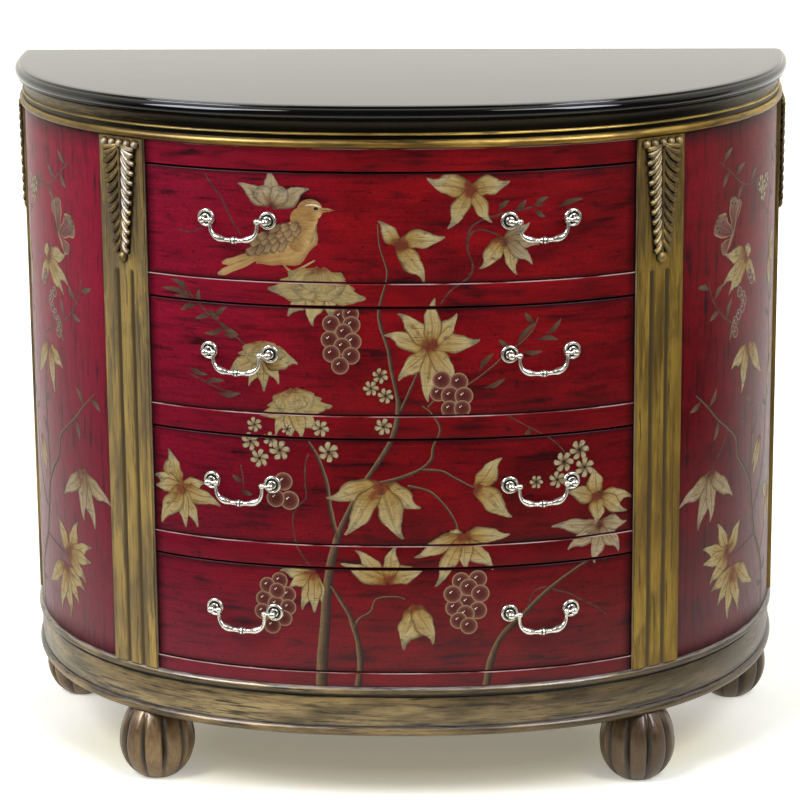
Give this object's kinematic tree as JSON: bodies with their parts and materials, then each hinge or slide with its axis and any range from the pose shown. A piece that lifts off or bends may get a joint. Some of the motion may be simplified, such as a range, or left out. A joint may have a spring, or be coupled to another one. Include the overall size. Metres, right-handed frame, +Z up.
{
  "type": "demilune chest of drawers",
  "caption": "Half-round chest of drawers with bowed fronts, carved and fluted pilasters, moulded top and base, melon feet and bail pulls.",
  "frame": {"origin": "on the floor, under the middle of the chest's bounding box", "axes": "+Z up, -Y towards the viewer out of the bowed front, +Y to the wall, +X to the viewer's right"},
  "size_m": [0.9824, 0.4772, 0.855],
  "materials": {
    "black_lacquer": "black lacquer, high gloss",
    "red_lacquer_drawer": "painted red lacquer with darker rubbed streaks and painted vines, gloss",
    "red_lacquer_rail": "painted red lacquer with darker rubbed streaks, gloss",
    "red_lacquer_panel": "painted red lacquer with darker upright streaks and painted leaves, gloss",
    "worn_gold_pilaster": "worn gold paint over umber, satin",
    "worn_gold_cornice": "worn gold and bronze paint, satin gloss",
    "worn_gold_moulding": "worn gold paint with umber streaks, satin gloss",
    "bronze_brown_foot": "brown bronze paint, gloss",
    "old_silver_post": "cast, antique silver with dark recesses",
    "old_silver_bail": "cast, antique silver with dark recesses",
    "case_wood": "plain, planed",
    "back_board_wood": "plain board, stained",
    "drawer_wood": "plain, planed",
    "drawer_bottom_wood": "plain thin board"
  },
  "bodies": {
    "case": {"top_board": "black_lacquer", "sub_top": "case_wood", "cornice_moulding": "worn_gold_cornice", "base_moulding": "worn_gold_moulding", "base_board": "case_wood", "back_panel": "back_board_wood", "side_panel_left": "red_lacquer_panel", "side_panel_right": "red_lacquer_panel", "front_pilaster_left": "worn_gold_pilaster", "front_pilaster_right": "worn_gold_pilaster", "rear_pilaster_left": "worn_gold_pilaster", "rear_pilaster_right": "worn_gold_pilaster", "rail_1": "red_lacquer_rail", "rail_2": "red_lacquer_rail", "rail_3": "red_lacquer_rail", "rail_4": "red_lacquer_rail", "rail_5": "red_lacquer_rail", "bay_wall_left": "case_wood", "bay_wall_right": "case_wood", "foot_front_left": "bronze_brown_foot", "foot_front_right": "bronze_brown_foot", "foot_rear_left": "bronze_brown_foot", "foot_rear_right": "bronze_brown_foot"},
    "drawer_1": {"drawer_1_front": "red_lacquer_drawer", "drawer_1_box": "drawer_wood", "drawer_1_bottom": "drawer_bottom_wood", "post_1_left_left": "old_silver_post", "post_1_left_right": "old_silver_post", "post_1_right_left": "old_silver_post", "post_1_right_right": "old_silver_post"},
    "bail_1_left": {"bail_1_left": "old_silver_bail"},
    "bail_1_right": {"bail_1_right": "old_silver_bail"},
    "drawer_2": {"drawer_2_front": "red_lacquer_drawer", "drawer_2_box": "drawer_wood", "drawer_2_bottom": "drawer_bottom_wood", "post_2_left_left": "old_silver_post", "post_2_left_right": "old_silver_post", "post_2_right_left": "old_silver_post", "post_2_right_right": "old_silver_post"},
    "bail_2_left": {"bail_2_left": "old_silver_bail"},
    "bail_2_right": {"bail_2_right": "old_silver_bail"},
    "drawer_3": {"drawer_3_front": "red_lacquer_drawer", "drawer_3_box": "drawer_wood", "drawer_3_bottom": "drawer_bottom_wood", "post_3_left_left": "old_silver_post", "post_3_left_right": "old_silver_post", "post_3_right_left": "old_silver_post", "post_3_right_right": "old_silver_post"},
    "bail_3_left": {"bail_3_left": "old_silver_bail"},
    "bail_3_right": {"bail_3_right": "old_silver_bail"},
    "drawer_4": {"drawer_4_front": "red_lacquer_drawer", "drawer_4_box": "drawer_wood", "drawer_4_bottom": "drawer_bottom_wood", "post_4_left_left": "old_silver_post", "post_4_left_right": "old_silver_post", "post_4_right_left": "old_silver_post", "post_4_right_right": "old_silver_post"},
    "bail_4_left": {"bail_4_left": "old_silver_bail"},
    "bail_4_right": {"bail_4_right": "old_silver_bail"}
  },
  "joints": [
    {"name": "drawer_1_slide", "type": "slide", "parent": "case", "child": "drawer_1", "axis": [0, -1, 0], "range_m": [0, 0.28]},
    {"name": "drawer_2_slide", "type": "slide", "parent": "case", "child": "drawer_2", "axis": [0, -1, 0], "range_m": [0, 0.28]},
    {"name": "drawer_3_slide", "type": "slide", "parent": "case", "child": "drawer_3", "axis": [0, -1, 0], "range_m": [0, 0.28]},
    {"name": "drawer_4_slide", "type": "slide", "parent": "case", "child": "drawer_4", "axis": [0, -1, 0], "range_m": [0, 0.28]},
    {"name": "bail_1_left_swing", "type": "hinge", "parent": "drawer_1", "child": "bail_1_left", "pos_m": [-0.18029, -0.21589, 0.7185], "axis": [-0.9612, 0.2757, 0], "range_deg": [-14, 150]},
    {"name": "bail_1_right_swing", "type": "hinge", "parent": "drawer_1", "child": "bail_1_right", "pos_m": [0.18029, -0.21589, 0.7185], "axis": [-0.9612, -0.2757, 0], "range_deg": [-14, 150]},
    {"name": "bail_2_left_swing", "type": "hinge", "parent": "drawer_2", "child": "bail_2_left", "pos_m": [-0.18029, -0.21589, 0.5597], "axis": [-0.9612, 0.2757, 0], "range_deg": [-14, 150]},
    {"name": "bail_2_right_swing", "type": "hinge", "parent": "drawer_2", "child": "bail_2_right", "pos_m": [0.18029, -0.21589, 0.5597], "axis": [-0.9612, -0.2757, 0], "range_deg": [-14, 150]},
    {"name": "bail_3_left_swing", "type": "hinge", "parent": "drawer_3", "child": "bail_3_left", "pos_m": [-0.18029, -0.21589, 0.4009], "axis": [-0.9612, 0.2757, 0], "range_deg": [-14, 150]},
    {"name": "bail_3_right_swing", "type": "hinge", "parent": "drawer_3", "child": "bail_3_right", "pos_m": [0.18029, -0.21589, 0.4009], "axis": [-0.9612, -0.2757, 0], "range_deg": [-14, 150]},
    {"name": "bail_4_left_swing", "type": "hinge", "parent": "drawer_4", "child": "bail_4_left", "pos_m": [-0.18029, -0.21589, 0.2421], "axis": [-0.9612, 0.2757, 0], "range_deg": [-14, 150]},
    {"name": "bail_4_right_swing", "type": "hinge", "parent": "drawer_4", "child": "bail_4_right", "pos_m": [0.18029, -0.21589, 0.2421], "axis": [-0.9612, -0.2757, 0], "range_deg": [-14, 150]}
  ]
}
